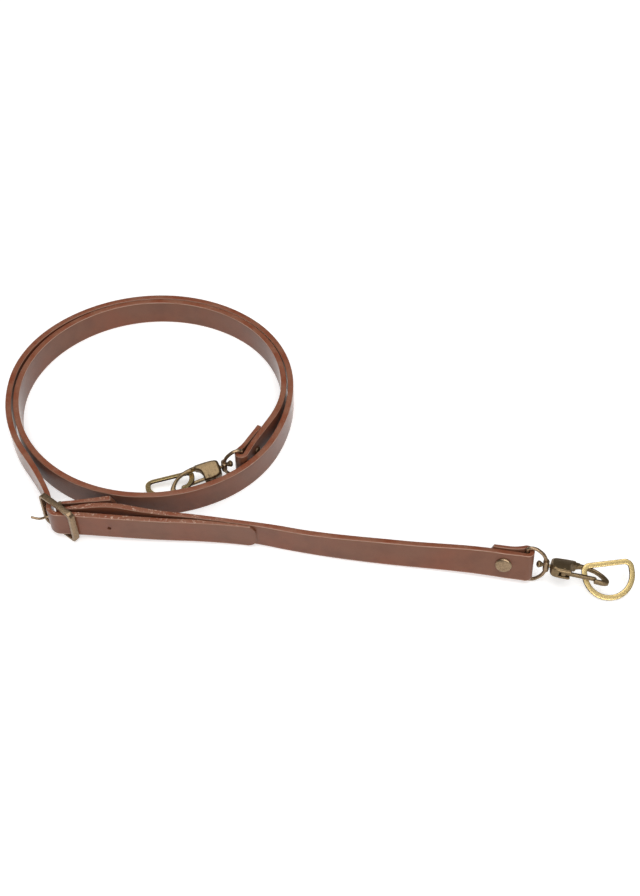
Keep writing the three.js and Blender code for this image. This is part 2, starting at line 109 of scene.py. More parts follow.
# Where things lie, in millimetres and degrees.
TONGUE_HOLE = {"from_tip": 76.6, "height": 7.6}
SLOT_HEIGHT = 8
HANDLED_SHORT = (-15, 125)
HANDLED_FADE = 15
BUCKLE_CENTRE = Vector((-128.75, -61.9, 11.1))
BUCKLE_HEADING = -39.4
BAR_SET_BACK = 2.4
BAR_SHIFT = 0.5
PRONG_HEIGHT = 10.8
PRONG_LOOP = 1.95
PRONG_LOOP_ANGLES = (160, 220, 280, -20, 40, 85)
PRONG_REACH = ((-3.6, 0.75, 0), (-8.2, -1.2, 0), (-12.4, -1.7, -1), (-16.6, -1.4, 0))
EYE_DEPTH = 10
EYE_TOP = 9.76
CLASPS = {
    "long_end": {
        "eye_heading": 197,
        "ring": {"at": (-74.1, -29.7, 4.6), "heading": 12.3, "pitch": -7, "roll": -18},
    },
    "short_end": {
        "eye_heading": -10,
        "ring": {"at": (153.6, -91.5, 10.6), "heading": 6.5, "pitch": -2.3, "roll": 32},
    },
}

# Each rivet's strap, the fold that it holds, its distance from the fold, whether the strap goes on
# after the fold, its height, and the radii of its front and back caps, in millimetres.
RIVETS = {
    "rivet_long_end": (LONG_ROUTE, "fold", 11, True, 7.4, 3.1, 4.2),
    "rivet_short_end": (SHORT_ROUTE, "clasp fold", 11, False, 8.6, 4.2, 4.2),
    "rivet_buckle": (SHORT_ROUTE, "buckle fold", 12, True, 8, 3, 3),
}

# Each brass's slot and colour, how rough it is where it is rubbed, the strength and scale of its
# stains, and whether it is a flat bar's, with painted shade on its two narrow sides.
BRASSES = {
    "antique_brass_plate": ("antique_brass", "antique", 0.25, 0.5, 900.0, False),
    "antique_brass_casting": ("antique_brass", "cast", 0.31, 0.5, 1300.0, False),
    "bright_brass_plate": ("bright_brass", "bright", 0.24, 0.42, 520.0, True),
}

# Sizes of the smaller details, in metres.
FLAT_THICK = 0.0032
LUG = {"width": 0.0026, "inset": 0.0011, "round": 0.0005}
PRONG_WIRE = 0.00065
PRONG_HOLE = 0.00115
PRONG_SLOT = 0.0026
CAP_RISE = 0.0011
CAP_LIFT = 0.0002
RIVET_POST = 0.0014
EYE_WIRE = 0.00095
COLLAR = {"radius": 0.0016, "length": 0.006, "widened": 1.5, "bore": 0.0014}
SHOULDER = {"from": 0.0027, "to": 0.0037, "stem": 0.00085, "stretch": 0.0005}
CROWN = {"from": 0.002, "to": 0.02, "half_width": 0.0056, "core": 0.0012, "rise": 0.0007}
CASTING_VOXEL = 0.00014


# ---------------- sizes and colours

class StrapSizes(bpy.types.PropertyGroup):
    """Sizes of the cut leather."""
    width: bpy.props.FloatProperty(
        name="Width", description="Width of both straps", default=0.016, unit="LENGTH")
    edge: bpy.props.FloatProperty(
        name="Edge round", description="How far the cut edges are rounded over", default=0.00045,
        unit="LENGTH")
    tip: bpy.props.FloatProperty(
        name="Tip radius", description="Corner radius of the long strap's tip", default=0.005,
        unit="LENGTH")
    clip: bpy.props.FloatProperty(
        name="Clip", description="How far the corners of the short strap are cut back",
        default=0.0032, unit="LENGTH")
    clip_height: bpy.props.FloatProperty(
        name="Clip height", description="How far down the end a clipped corner reaches",
        default=0.006, unit="LENGTH")
    ring: bpy.props.FloatProperty(
        name="Ring spacing", description="Distance between rings of the leather's mesh",
        default=0.0016, unit="LENGTH")
    fold_ring: bpy.props.FloatProperty(
        name="Fold ring spacing", description="Distance between rings where it folds",
        default=0.0004, unit="LENGTH")
    hole: bpy.props.FloatProperty(
        name="Hole radius", description="Radius of the punched hole in the tongue", default=0.0011,
        unit="LENGTH")


class BuckleSizes(bpy.types.PropertyGroup):
    """Sizes of the buckle's frame."""
    length: bpy.props.FloatProperty(
        name="Length", description="Length of the frame across its bar", default=0.0237,
        unit="LENGTH")
    height: bpy.props.FloatProperty(
        name="Height", description="Height of the frame along its bar", default=0.0222,
        unit="LENGTH")
    side: bpy.props.FloatProperty(
        name="Side", description="Width of the two upright sides", default=0.0016, unit="LENGTH")
    rail: bpy.props.FloatProperty(
        name="Rail", description="Width of the top and bottom rails", default=0.0016, unit="LENGTH")
    thick: bpy.props.FloatProperty(
        name="Depth", description="Depth of the frame from front to back", default=0.0032,
        unit="LENGTH")
    front: bpy.props.FloatProperty(
        name="Front side", description="Width of the upright side that the tongue passes under",
        default=0.0025, unit="LENGTH")
    proud: bpy.props.FloatProperty(
        name="Front reach", description="How far the front side stands out past the frame's length",
        default=0.0006, unit="LENGTH")
    corner: bpy.props.FloatProperty(
        name="Corner", description="Outer corner radius", default=0.0032, unit="LENGTH")
    bar: bpy.props.FloatProperty(
        name="Bar radius", description="Radius of the centre bar", default=0.00085, unit="LENGTH")


class RingSizes(bpy.types.PropertyGroup):
    """Sizes of the D-rings."""
    width: bpy.props.FloatProperty(
        name="Width", description="Length of the straight side, outside", default=0.0271,
        unit="LENGTH")
    depth: bpy.props.FloatProperty(
        name="Depth", description="From the straight side to the end of the bow", default=0.0201,
        unit="LENGTH")
    band: bpy.props.FloatProperty(
        name="Band", description="Width of the flat bar", default=0.0028, unit="LENGTH")
    thick: bpy.props.FloatProperty(
        name="Thickness", description="Thickness of the flat bar", default=0.0014, unit="LENGTH")
    corner: bpy.props.FloatProperty(
        name="Corner", description="Outer corner radius", default=0.004, unit="LENGTH")


class LeatherFinish(bpy.types.PropertyGroup):
    """Colours of the leather."""
    face: bpy.props.FloatVectorProperty(
        name="Face", description="Smooth face of the leather", default=(0.18, 0.07, 0.037),
        subtype="COLOR")
    edge: bpy.props.FloatVectorProperty(
        name="Edge", description="Painted cut edge", default=(0.268, 0.104, 0.056),
        subtype="COLOR")
    warm: bpy.props.FloatVectorProperty(
        name="Warm", description="Redder patches where the dye is thicker",
        default=(0.23, 0.056, 0.02), subtype="COLOR")
    dark: bpy.props.FloatVectorProperty(
        name="Dark", description="Pores and darker clouds", default=(0.09, 0.032, 0.017),
        subtype="COLOR")
    # Also the colour of the painted highlight along the corners of the cut edges.
    fleck_and_highlight: bpy.props.FloatVectorProperty(
        name="Fleck and highlight", description="Bare fibre showing through the edge paint",
        default=(0.62, 0.42, 0.31), subtype="COLOR")


class BrassFinish(bpy.types.PropertyGroup):
    """Colours of the plated fittings."""
    antique: bpy.props.FloatVectorProperty(
        name="Antique brass", description="Worn high places", default=(0.345, 0.24, 0.145),
        subtype="COLOR")
    cast: bpy.props.FloatVectorProperty(
        name="Cast brass", description="Rubbed faces of the hooks", default=(0.235, 0.165, 0.088),
        subtype="COLOR")
    # Also the colour of the painted shade on the D-rings' narrow sides.
    patina_and_shade: bpy.props.FloatVectorProperty(
        name="Patina and shade", description="Dark colour left in the recesses",
        default=(0.066, 0.034, 0.02), subtype="COLOR")
    bright: bpy.props.FloatVectorProperty(
        name="Bright brass", description="Polished D-rings", default=(0.82, 0.62, 0.27),
        subtype="COLOR")


class StageSetup(bpy.types.PropertyGroup):
    """Floor, light and camera."""
    floor_size: bpy.props.FloatProperty(
        name="Floor size", description="Side of the floor", default=6.0, unit="LENGTH")
    floor_glow: bpy.props.FloatProperty(
        name="Floor glow", description="Light that the white table throws back", default=0.2)
    floor_bright: bpy.props.FloatProperty(
        name="Floor brightness", description="How bright the bare table looks", default=0.45)
    horizon: bpy.props.FloatProperty(
        name="Horizon", description="Brightness of the room near the horizon", default=0.15)
    zenith: bpy.props.FloatProperty(
        name="Zenith", description="Brightness of the room overhead", default=0.75)
    key: bpy.props.FloatProperty(
        name="Key light", description="Strength of the large soft light above", default=9.5)
    front: bpy.props.FloatProperty(
        name="Front light", description="Strength of the soft light in front", default=9.0)
    lens: bpy.props.FloatProperty(
        name="Lens", description="Focal length of the camera in millimetres", default=48.21)


# ---------------- routes

def clamped(t):
    return min(max(t, 0), 1)


def smooth(t):
    return t * t * (3 - 2 * t)


def lerp(a, b, t):
    return a + (b - a) * t


def route_length(route):
    return sum(row[1] for row in route["rows"])


def span_of(route, part):
    """Where a row starts and ends along its route, in millimetres."""
    start = 0.0
    for name, length, *_ in route["rows"]:
        if name == part:
            return start, start + length
        start += length
    raise RuntimeError(f"the route has no row named {part}")


def joint_named(name):
    return next(joint for joint in frame["joints"] if joint["name"] == name)


def route_at(route, distance):
    """The foot point, up, left normal and thickness at a distance along a route."""
    x, y = route["start"]
    heading = math.radians(route["heading"])
    lift, lean, thick = route["lift"], route["lean"], route["thick"]
    left = min(max(distance, 0.0), route_length(route))
    for _, length, turn, row_lift, row_lean, row_thick in route["rows"]:
        run = min(left, length)
        bend = math.radians(turn) / length
        chord = run if bend == 0 else 2 * math.sin(bend * run / 2) / bend
        x += chord * math.cos(heading + bend * run / 2)
        y += chord * math.sin(heading + bend * run / 2)
        heading += bend * run
        left -= run
        if left <= 1e-9:
            mix = smooth(run / length)
            lean_angle = math.radians(lerp(lean, row_lean, mix))
            along = Vector((math.cos(heading), math.sin(heading), 0))
            up = Vector((0, math.sin(lean_angle), math.cos(lean_angle)))
            foot = Vector((x, y, lerp(lift, row_lift, mix)))
            return foot, up, up.cross(along).normalized(), lerp(thick, row_thick, mix)
        lift, lean, thick = row_lift, row_lean, row_thick
    raise RuntimeError("the distance is past the end of the route")


def on_strap(route, distance, across, height):
    """A point of the leather in metres; across is -1 on its right face and 1 on its left."""
    foot, up, normal, thick = route_at(route, distance)
    return (foot + normal * (across * thick / 2) + up * height + ROUTE_ORIGIN) * MM


def marks_of(route, spacing, fold_spacing):
    """Ring distances along a route, close together where it folds."""
    marks = [0.0]
    at = 0.0
    for _, length, turn, *_ in route["rows"]:
        folds = abs(turn) / length > 5
        count = math.ceil(length / (fold_spacing if folds else spacing))
        marks += [at + length * i / count for i in range(1, count + 1)]
        at += length
    return marks


# ---------------- modelling helpers

def select_none():
    bpy.ops.object.select_all(action="DESELECT")


def only(piece):
    """Makes a piece the only one selected, and active."""
    select_none()
    piece.select_set(True)
    bpy.context.view_layer.objects.active = piece


def started(name, scale=(1, 1, 1)):
    """Names and scales the primitive just added, with its place and scale left in its mesh."""
    piece = bpy.context.object
    piece.name = name
    piece.data.name = name
    piece.scale = scale
    only(piece)
    bpy.ops.object.transform_apply()
    return piece


def cylinder(name, sides, radius, depth, location=(0, 0, 0), rotation=(0, 0, 0)):
    select_none()
    bpy.ops.mesh.primitive_cylinder_add(
        vertices=sides, radius=radius, depth=depth, location=location, rotation=rotation)
    return started(name)


def box(name, location, size):
    select_none()
    bpy.ops.mesh.primitive_cube_add(size=1, location=location)
    return started(name, size)


def pick(piece, kind, test=lambda *place: True):
    """Selects a piece's vertices, edges or faces that pass a test, and enters edit mode."""
    only(piece)
    bpy.ops.object.mode_set(mode="EDIT")
    bpy.ops.mesh.select_mode(type=kind)
    bpy.ops.mesh.select_all(action="DESELECT")
    bpy.ops.object.mode_set(mode="OBJECT")
    mesh = piece.data
    if kind == "VERT":
        for vertex in mesh.vertices:
            vertex.select = test(vertex.co)
    elif kind == "EDGE":
        for edge in mesh.edges:
            a, b = (mesh.vertices[i].co for i in edge.vertices)
            edge.select = test(a, b)
    else:
        for face in mesh.polygons:
            face.select = test(face.center, face.normal)
    bpy.ops.object.mode_set(mode="EDIT")


def done_editing():
    bpy.ops.object.mode_set(mode="OBJECT")


def modify(piece, kind, **values):
    """Adds a modifier, sets it and applies it."""
    only(piece)
    bpy.ops.object.modifier_add(type=kind)
    modifier = piece.modifiers[-1]
    for key, value in values.items():
        setattr(modifier, key, value)
    bpy.ops.object.modifier_apply(modifier=modifier.name)


def combine(piece, other, operation="DIFFERENCE"):
    """Cuts a piece with another one, or unites the two; the other one is used up."""
    modify(piece, "BOOLEAN", operation=operation, solver="EXACT", object=other)
    bpy.data.objects.remove(other)


def round_edges(piece, width, segments, degrees):
    """Rounds the edges of a piece that are sharper than an angle."""
    modify(
        piece, "BEVEL", width=width, segments=segments, limit_method="ANGLE",
        angle_limit=math.radians(degrees))


def shade(piece, degrees):
    """Shades a piece smooth, but for its edges sharper than an angle."""
    only(piece)
    bpy.ops.object.shade_smooth_by_angle(angle=math.radians(degrees))


def weld(piece, others):
    """Joins other pieces into the first, as one mesh."""
    only(piece)
    for other in others:
        other.select_set(True)
    bpy.ops.object.join()


def keep_flat(piece):
    """Keeps a straight piece's own coordinates, so that its finish follows it once it is bent."""
    flat = piece.data.attributes.new("flat", "FLOAT_VECTOR", "POINT")
    for vertex in piece.data.vertices:
        flat.data[vertex.index].vector = vertex.co


def bend_along(piece, points):
    """Bends a straight piece, its length on X from the origin, along a line of points."""
    rail_data = bpy.data.curves.new("rail", "CURVE")
    rail_data.dimensions = "3D"
    rail_data.twist_mode = "Z_UP"
    spline = rail_data.splines.new("POLY")
    spline.points.add(len(points) - 1)
    for target, point in zip(spline.points, points):
        target.co = (*point, 1)
    rail = bpy.data.objects.new("rail", rail_data)
    bpy.context.collection.objects.link(rail)
    modify(piece, "CURVE", object=rail, deform_axis="POS_X")
    bpy.data.objects.remove(rail)
    bpy.data.curves.remove(rail_data)


def line_length(points):
    return sum((b - a).length for a, b in zip(points, points[1:]))


def smooth_line(points, step):
    """Points every step or so along a Catmull-Rom line through the given ones."""
    line = []
    padded = [points[0], *points, points[-1]]
    for before, a, b, after in zip(padded, padded[1:], padded[2:], padded[3:]):
        count = max(2, math.ceil((b - a).length / step))
        for k in range(count):
            t = k / count
            line.append(0.5 * (
                2 * a + (b - before) * t + (2 * before - 5 * a + 4 * b - after) * t * t
                + (3 * a - before - 3 * b + after) * t ** 3))
    line.append(points[-1].copy())
    return line


def round_bar(name, length, radius, sides, rings):
    """A straight round bar on X from the origin, cut into rings so that it can be bent."""
    bar = cylinder(name, sides, radius, length, (length / 2, 0, 0), (0, math.pi / 2, 0))
    pick(bar, "EDGE", lambda a, b: abs(a.x - b.x) > length / 2)
    bpy.ops.mesh.subdivide(number_cuts=rings)
    done_editing()
    return bar


def turned(degrees, axis):
    return Matrix.Rotation(math.radians(degrees), 4, axis)


def place(piece, at, turn):
    """Turns a piece about its origin and carries it to its place, both in its mesh."""
    only(piece)
    piece.matrix_world = Matrix.Translation(at) @ turn
    bpy.ops.object.transform_apply()


def copy_of(node, name):
    """A copy of a solid's mesh as a piece of its own, with its loose triangles merged."""
    original = frame["nodes"][node]
    piece = bpy.data.objects.new(name, original.data.copy())
    bpy.context.collection.objects.link(piece)
    piece.data.materials.clear()
    pick(piece, "VERT")
    bpy.ops.mesh.remove_doubles(threshold=0.00001)
    done_editing()
    return piece


def cast(piece, passes, swell):
    """Gives a piece a casting's soft corners, then swells it by what the smoothing took off."""
    modify(piece, "REMESH", mode="VOXEL", voxel_size=CASTING_VOXEL)
    modify(piece, "SMOOTH", factor=0.5, iterations=passes)
    modify(piece, "DISPLACE", strength=swell, mid_level=0.0)
    only(piece)
    bpy.ops.object.shade_smooth()


# ---------------- materials

def opaque(color):
    return (*color, 1.0)


class Nodes:
    """A short way to write a node tree."""

    def __init__(self, tree):
        self.tree = tree

    def add(self, kind, values=None, **settings):
        node = self.tree.nodes.new(kind)
        for key, value in settings.items():
            setattr(node, key, value)
        for key, value in (values or {}).items():
            self.put(node.inputs[key], value)
        return node

    def put(self, socket, value):
        if isinstance(value, bpy.types.NodeSocket):
            self.tree.links.new(value, socket)
        else:
            socket.default_value = value

    def math(self, operation, a, b=None, clamp=False):
        node = self.add("ShaderNodeMath", {0: a}, operation=operation, use_clamp=clamp)
        if b is not None:
            self.put(node.inputs[1], b)
        return node.outputs[0]

    def span(self, value, low, high, to_low=0.0, to_high=1.0):
        node = self.add("ShaderNodeMapRange", {
            "Value": value, "From Min": low, "From Max": high, "To Min": to_low, "To Max": to_high})
        return node.outputs["Result"]

    def mix(self, factor, a, b):
        node = self.add("ShaderNodeMix", data_type="RGBA")
        for key, value in (("Factor", factor), (6, a), (7, b)):
            self.put(node.inputs[key], value)
        return node.outputs[2]

    def noise(self, vector, scale, detail=3.0, rough=0.5):
        node = self.add("ShaderNodeTexNoise", {
            "Vector": vector, "Scale": scale, "Detail": detail, "Roughness": rough})
        return node.outputs["Fac"]


def new_material(name):
    material = bpy.data.materials.new(name)
    material.use_nodes = True
    material.node_tree.nodes.clear()
    return material


def leather_material(name):
    """Satin dyed leather: fine pores, clouded dye, a painted edge with bare flecks, and a painted
    highlight along the corners of the edge.
    """
    colours = bpy.context.scene.leather_finish
    material = new_material(name)
    n = Nodes(material.node_tree)
    flat = n.add("ShaderNodeAttribute", attribute_name="flat").outputs["Vector"]
    across = n.add("ShaderNodeSeparateXYZ", {0: flat})
    height = n.math("ABSOLUTE", across.outputs["Z"])
    half = bpy.context.scene.strap_sizes.width / 2
    edge = n.span(height, half - 0.0005, half - 0.0002)
    patches = n.noise(flat, 24.0)
    cloud = n.noise(flat, 90.0, 4.0, 0.6)
    fine = n.noise(flat, 2600.0, 2.0, 0.6)
    pores = n.add("ShaderNodeTexVoronoi", {"Vector": flat, "Scale": 1500.0}).outputs["Distance"]
    stretched = n.add("ShaderNodeMapping", {"Vector": flat, "Scale": (900.0, 900.0, 90.0)})
    creases = n.noise(stretched.outputs["Vector"], 1.0, 3.0, 0.6)
    face = n.mix(n.span(patches, 0.44, 0.68, 0.0, 0.5), opaque(colours.face), opaque(colours.warm))
    face = n.mix(n.span(cloud, 0.45, 0.75, 0.0, 0.35), face, opaque(colours.dark))
    face = n.mix(n.span(fine, 0.55, 0.8, 0.0, 0.3), face, opaque(colours.dark))
    grain = n.noise(flat, 700.0, 3.0, 0.7)
    handled = n.add("ShaderNodeAttribute", attribute_name="handled").outputs["Fac"]
    worn = n.math("MULTIPLY", n.span(patches, 0.35, 0.52), handled)
    flecks = n.math("MULTIPLY", n.span(grain, 0.56, 0.64), worn)
    painted = n.mix(n.span(cloud, 0.4, 0.65), opaque(colours.edge), opaque(colours.warm))
    painted = n.mix(n.math("MULTIPLY", flecks, 0.8), painted, opaque(colours.fleck_and_highlight))
    # Painted highlight: a thin pale line along both corners of the cut edge, in the fleck colour,
    # varying with the clouds.
    rise = n.span(height, half - 0.00062, half - 0.00038)
    fall = n.span(height, half - 0.00034, half - 0.00008, 1.0, 0.0)
    line = n.math("MULTIPLY", rise, fall)
    painted_highlight = n.math("MULTIPLY", line, n.span(cloud, 0.35, 0.6, 0.35, 0.9))
    colour = n.mix(painted_highlight, n.mix(edge, face, painted), opaque(colours.fleck_and_highlight))
    rough = n.span(fine, 0.3, 0.7, 0.4, 0.52)
    relief = n.math("ADD", n.math("ADD", pores, fine), n.math("MULTIPLY", creases, 0.8))
    bump = n.add("ShaderNodeBump", {"Height": relief, "Strength": 0.16, "Distance": 0.0002})
    shader = n.add("ShaderNodeBsdfPrincipled", {
        "Base Color": colour, "Roughness": rough, "Normal": bump.outputs["Normal"],
        "Specular IOR Level": 0.32, "Coat Weight": 0.8, "Coat IOR": 1.22, "Coat Roughness": 0.22,
        "Sheen Weight": 0.7, "Sheen Roughness": 0.16, "Sheen Tint": (1.0, 0.88, 0.80, 1.0)})
    n.add("ShaderNodeOutputMaterial", {"Surface": shader.outputs[0]})
    return material


def plate_group():
    """A node group that every brass shares: where it darkens, with tarnish and a flat bar's painted
    side shade, and a fine cast stipple.
    """
    found = bpy.data.node_groups.get("plate_patina_and_shade")
    if found:
        return found
    group = bpy.data.node_groups.new("plate_patina_and_shade", "ShaderNodeTree")
    inputs = {
        "Position": "Vector", "Tarnish And Side Shade": "Float", "Stain": "Float", "Stain Scale": "Float",
        "Stipple Scale": "Float", "High": "Color", "Low": "Color",
    }
    outputs = {"Color": "Color", "Dark": "Float", "Height": "Float"}
    for in_out, sockets in (("INPUT", inputs), ("OUTPUT", outputs)):
        for name, kind in sockets.items():
            group.interface.new_socket(name, in_out=in_out, socket_type="NodeSocket" + kind)
    n = Nodes(group)
    given = n.add("NodeGroupInput").outputs
    stain = n.noise(given["Position"], given["Stain Scale"], 4.0, 0.65)
    stipple = n.noise(given["Position"], given["Stipple Scale"], 2.0)
    patches = n.math("MULTIPLY", n.span(stain, 0.46, 0.70), given["Stain"])
    specks = n.math("MULTIPLY", n.span(stipple, 0.55, 0.68, 0.0, 0.8), given["Stain"])
    dark = n.math("ADD", given["Tarnish And Side Shade"], n.math("MAXIMUM", patches, specks), clamp=True)
    colour = n.mix(dark, given["High"], given["Low"])
    n.add("NodeGroupOutput", {"Color": colour, "Dark": dark, "Height": stipple})
    return group


def brass_material(name):
    """Brass with dark tarnish in its recesses and worn bright elsewhere; a flat bar has painted
    shade on its sides instead.
    """
    _, high, polish, stain, stain_scale, flat_bar = BRASSES[name]
    colours = bpy.context.scene.brass_finish
    material = new_material(name)
    n = Nodes(material.node_tree)
    if flat_bar:
        # Painted shade: the two narrow sides of a flat bar are darkened, as if they faced a dark
        # room.
        flat = n.add("ShaderNodeAttribute", attribute_name="flat").outputs["Vector"]
        across = n.add("ShaderNodeSeparateXYZ", {0: flat}).outputs["Y"]
        half = bpy.context.scene.ring_sizes.band / 2
        patina_and_side_shade = n.span(n.math("ABSOLUTE", across), half - 0.0002, half - 0.00002)
    else:
        point = n.add("ShaderNodeNewGeometry").outputs["Pointiness"]
        patina_and_side_shade = n.span(point, 0.42, 0.495, 1.0, 0.0)
    plate = n.add("ShaderNodeGroup", node_tree=plate_group())
    given = {
        "Position": n.add("ShaderNodeTexCoord").outputs["Object"], "Tarnish And Side Shade": patina_and_side_shade,
        "Stain": stain, "Stain Scale": stain_scale, "Stipple Scale": 2600.0,
        "High": opaque(getattr(colours, high)), "Low": opaque(colours.patina_and_shade),
    }
    for key, value in given.items():
        n.put(plate.inputs[key], value)
    rough = n.span(plate.outputs["Dark"], 0.0, 1.0, polish, 0.52)
    metal = n.span(plate.outputs["Dark"], 0.0, 1.0, 0.92, 0.6)
    bump = n.add("ShaderNodeBump", {
        "Height": plate.outputs["Height"], "Strength": 0.25, "Distance": 0.0001})
    shader = n.add("ShaderNodeBsdfPrincipled", {
        "Base Color": plate.outputs["Color"], "Roughness": rough, "Metallic": metal,
        "Normal": bump.outputs["Normal"]})
    n.add("ShaderNodeOutputMaterial", {"Surface": shader.outputs[0]})
    return material


def finish_piece(piece, finish, body, node):
    """Gives a piece its material and its body, and hides the node that it stands in for."""
    brass = finish in BRASSES
    material = bpy.data.materials.get(finish)
    if not material:
        material = brass_material(finish) if brass else leather_material(finish)
    piece.data.materials.clear()
    piece.data.materials.append(material)
    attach(piece, body)
    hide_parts(node)
    select_none()


# ---------------- pieces

def cut_strip(name, route, rounded):
    """Cuts a flat strip of leather: X runs along it, Y through it, Z up its width.

    A rounded strip has a round tip at its far end; another one has clipped corners at both ends.
    """
    sizes = bpy.context.scene.strap_sizes
    marks = marks_of(route, sizes.ring / MM, sizes.fold_ring / MM)
    length = route_length(route) * MM
    select_none()
    bpy.ops.mesh.primitive_grid_add(
        x_subdivisions=len(marks) - 1, y_subdivisions=8, size=1,
        location=(length / 2, FLAT_THICK / 2, 0), rotation=(math.pi / 2, 0, 0))
    strip = started(name, (length, sizes.width, 1))
    step = length / (len(marks) - 1)
    for vertex in strip.data.vertices:
        vertex.co.x = marks[round(vertex.co.x / step)] * MM
    pick(strip, "FACE")
    bpy.ops.mesh.extrude_region_move(TRANSFORM_OT_translate={"value": (0, -FLAT_THICK, 0)})
    bpy.ops.mesh.select_all(action="SELECT")
    bpy.ops.mesh.normals_make_consistent()
    bpy.ops.mesh.select_all(action="DESELECT")
    bpy.ops.mesh.select_mode(type="EDGE")
    bpy.ops.mesh.edges_select_sharp(sharpness=math.radians(60))
    bpy.ops.mesh.bevel(offset=sizes.edge, segments=3, profile=0.6)
    done_editing()
    if rounded:
        for vertex in strip.data.vertices:
            inset = max(0.0, vertex.co.x - (length - sizes.tip))
            taken = sizes.tip - math.sqrt(max(sizes.tip ** 2 - inset ** 2, 0))
            vertex.co.z *= 1 - taken / (sizes.width / 2)
    else:
        for vertex in strip.data.vertices:
            outward = max(0.0, 1 - (sizes.width / 2 - abs(vertex.co.z)) / sizes.clip_height)
            near_start = max(0.0, 1 - vertex.co.x / (2 * sizes.clip))
            near_end = max(0.0, 1 - (length - vertex.co.x) / (2 * sizes.clip))
            vertex.co.x += sizes.clip * outward * (near_start - near_end)
    return strip


def punch(strip, distance, height, radius):
    """Punches a round hole through a flat strip; height is from its lower edge."""
    at = (distance, 0, height - bpy.context.scene.strap_sizes.width / 2)
    combine(strip, cylinder("punch", 28, radius, 0.02, at, (math.pi / 2, 0, 0)))


def slot_through(strip, start, end, height, width):
    """Cuts a slot with rounded ends through a flat strip."""
    at = ((start + end) / 2, 0, height - bpy.context.scene.strap_sizes.width / 2)
    cutter = box("slot", at, (end - start, 0.02, width))
    pick(cutter, "EDGE", lambda a, b: abs(a.y - b.y) > 0.01)
    bpy.ops.mesh.bevel(offset=width * 0.49, segments=6)
    done_editing()
    combine(strip, cutter)


def lay_on_route(strip, route, handled_from, handled_to):
    """Keeps a strip's flat coordinates, marks its handled stretch, and lays it along its route."""
    keep_flat(strip)
    handled = strip.data.attributes.new("handled", "FLOAT", "POINT")
    for vertex in strip.data.vertices:
        at = vertex.co.x / MM
        inside = min(at - handled_from, handled_to - at) / HANDLED_FADE
        handled.data[vertex.index].value = min(max(inside, 0.12), 1)
    half = bpy.context.scene.strap_sizes.width / 2
    frames = {}
    for vertex in strip.data.vertices:
        x, y, z = vertex.co
        key = round(x / MM, 4)
        if key not in frames:
            frames[key] = route_at(route, key)
        foot, up, normal, thick = frames[key]
        through = normal * (y / FLAT_THICK * thick)
        vertex.co = (foot + through + up * ((z + half) / MM) + ROUTE_ORIGIN) * MM
    shade(strip, 40)


def bar_centre():
    """Where the buckle's centre bar stands, in millimetres."""
    along = math.radians(BUCKLE_HEADING)
    x = BUCKLE_CENTRE.x + BAR_SHIFT * math.cos(along) - BAR_SET_BACK * math.sin(along)
    y = BUCKLE_CENTRE.y + BAR_SHIFT * math.sin(along) + BAR_SET_BACK * math.cos(along)
    return x, y


def prong_line():
    """The line of the prong's wire, in metres: a loop round the bar, then its reach to the tip."""
    bar = Vector((*bar_centre(), PRONG_HEIGHT))
    points = []
    for angle in PRONG_LOOP_ANGLES:
        a = math.radians(angle)
        points.append(bar + Vector((PRONG_LOOP * math.cos(a), PRONG_LOOP * math.sin(a), 0)))
    points += [bar + Vector(reach) for reach in PRONG_REACH]
    return smooth_line([(point + ROUTE_ORIGIN) * MM for point in points], 0.0003)


def prong_hole():
    """Where the prong goes through the long strap: along it and above its lower edge, in metres."""
    start, end = span_of(LONG_ROUTE, "bend in buckle")
    line = prong_line()
    steps = 60
    places = []
    for i in range(steps + 1):
        distance = lerp(start, end, i / steps)
        height = PRONG_HEIGHT - route_at(LONG_ROUTE, distance)[0].z
        point = on_strap(LONG_ROUTE, distance, 0, height)
        places.append((min((point - q).length for q in line), distance * MM, height * MM))
    return min(places)[1:]


def prong_slot():
    """Where the prong's slot starts and ends along the short strap, in metres."""
    x, y = bar_centre()
    inside = []
    for at in (20 + i * 0.05 for i in range(400)):
        foot = route_at(SHORT_ROUTE, at)[0]
        if max(abs(foot.x - x + 1), abs(foot.y - y)) < 4:
            inside.append(at)
    return inside[0] * MM, inside[-1] * MM


class STRAP_OT_long(bpy.types.Operator):
    """Make the long strap, from the flap at its clasp round the coil to the skived tip"""
    bl_idname = "bag_strap.long_strap"
    bl_label = "Long strap"

    def execute(self, context):
        strip = cut_strip("long_strap_leather", LONG_ROUTE, True)
        length = route_length(LONG_ROUTE)
        tongue_hole = (length - TONGUE_HOLE["from_tip"]) * MM
        punch(strip, tongue_hole, TONGUE_HOLE["height"] * MM, context.scene.strap_sizes.hole)
        punch(strip, *prong_hole(), PRONG_HOLE)
        lay_on_route(strip, LONG_ROUTE, span_of(LONG_ROUTE, "into buckle")[0], length)
        finish_piece(strip, "satin_brown_leather", "strap", "strap_long")
        return {"FINISHED"}


class STRAP_OT_short(bpy.types.Operator):
    """Make the short strap, folded round the buckle's bar and round its swivel eye"""
    bl_idname = "bag_strap.short_strap"
    bl_label = "Short strap"

    def execute(self, context):
        strip = cut_strip("short_strap_leather", SHORT_ROUTE, False)
        slot_through(strip, *prong_slot(), SLOT_HEIGHT * MM, PRONG_SLOT)
        lay_on_route(strip, SHORT_ROUTE, *HANDLED_SHORT)
        finish_piece(strip, "satin_brown_leather", "strap", "strap_short")
        return {"FINISHED"}


def rivet_seat(route, fold, gap, main_after_fold, height):
    """The rivet's ends on the outer faces of the two layers beside a fold, in metres."""
    fold_start, fold_end = span_of(route, fold)
    main = fold_end + gap if main_after_fold else fold_start - gap
    flap = fold_start - gap if main_after_fold else fold_end + gap
    front = on_strap(route, main, -1, height)
    across = route_at(route, flap)[2]
    axis = (route_at(route, main)[2] - across).normalized()
    reach = (on_strap(route, flap, -1, height) - front).dot(across) / axis.dot(across)
    return front, front + axis * reach


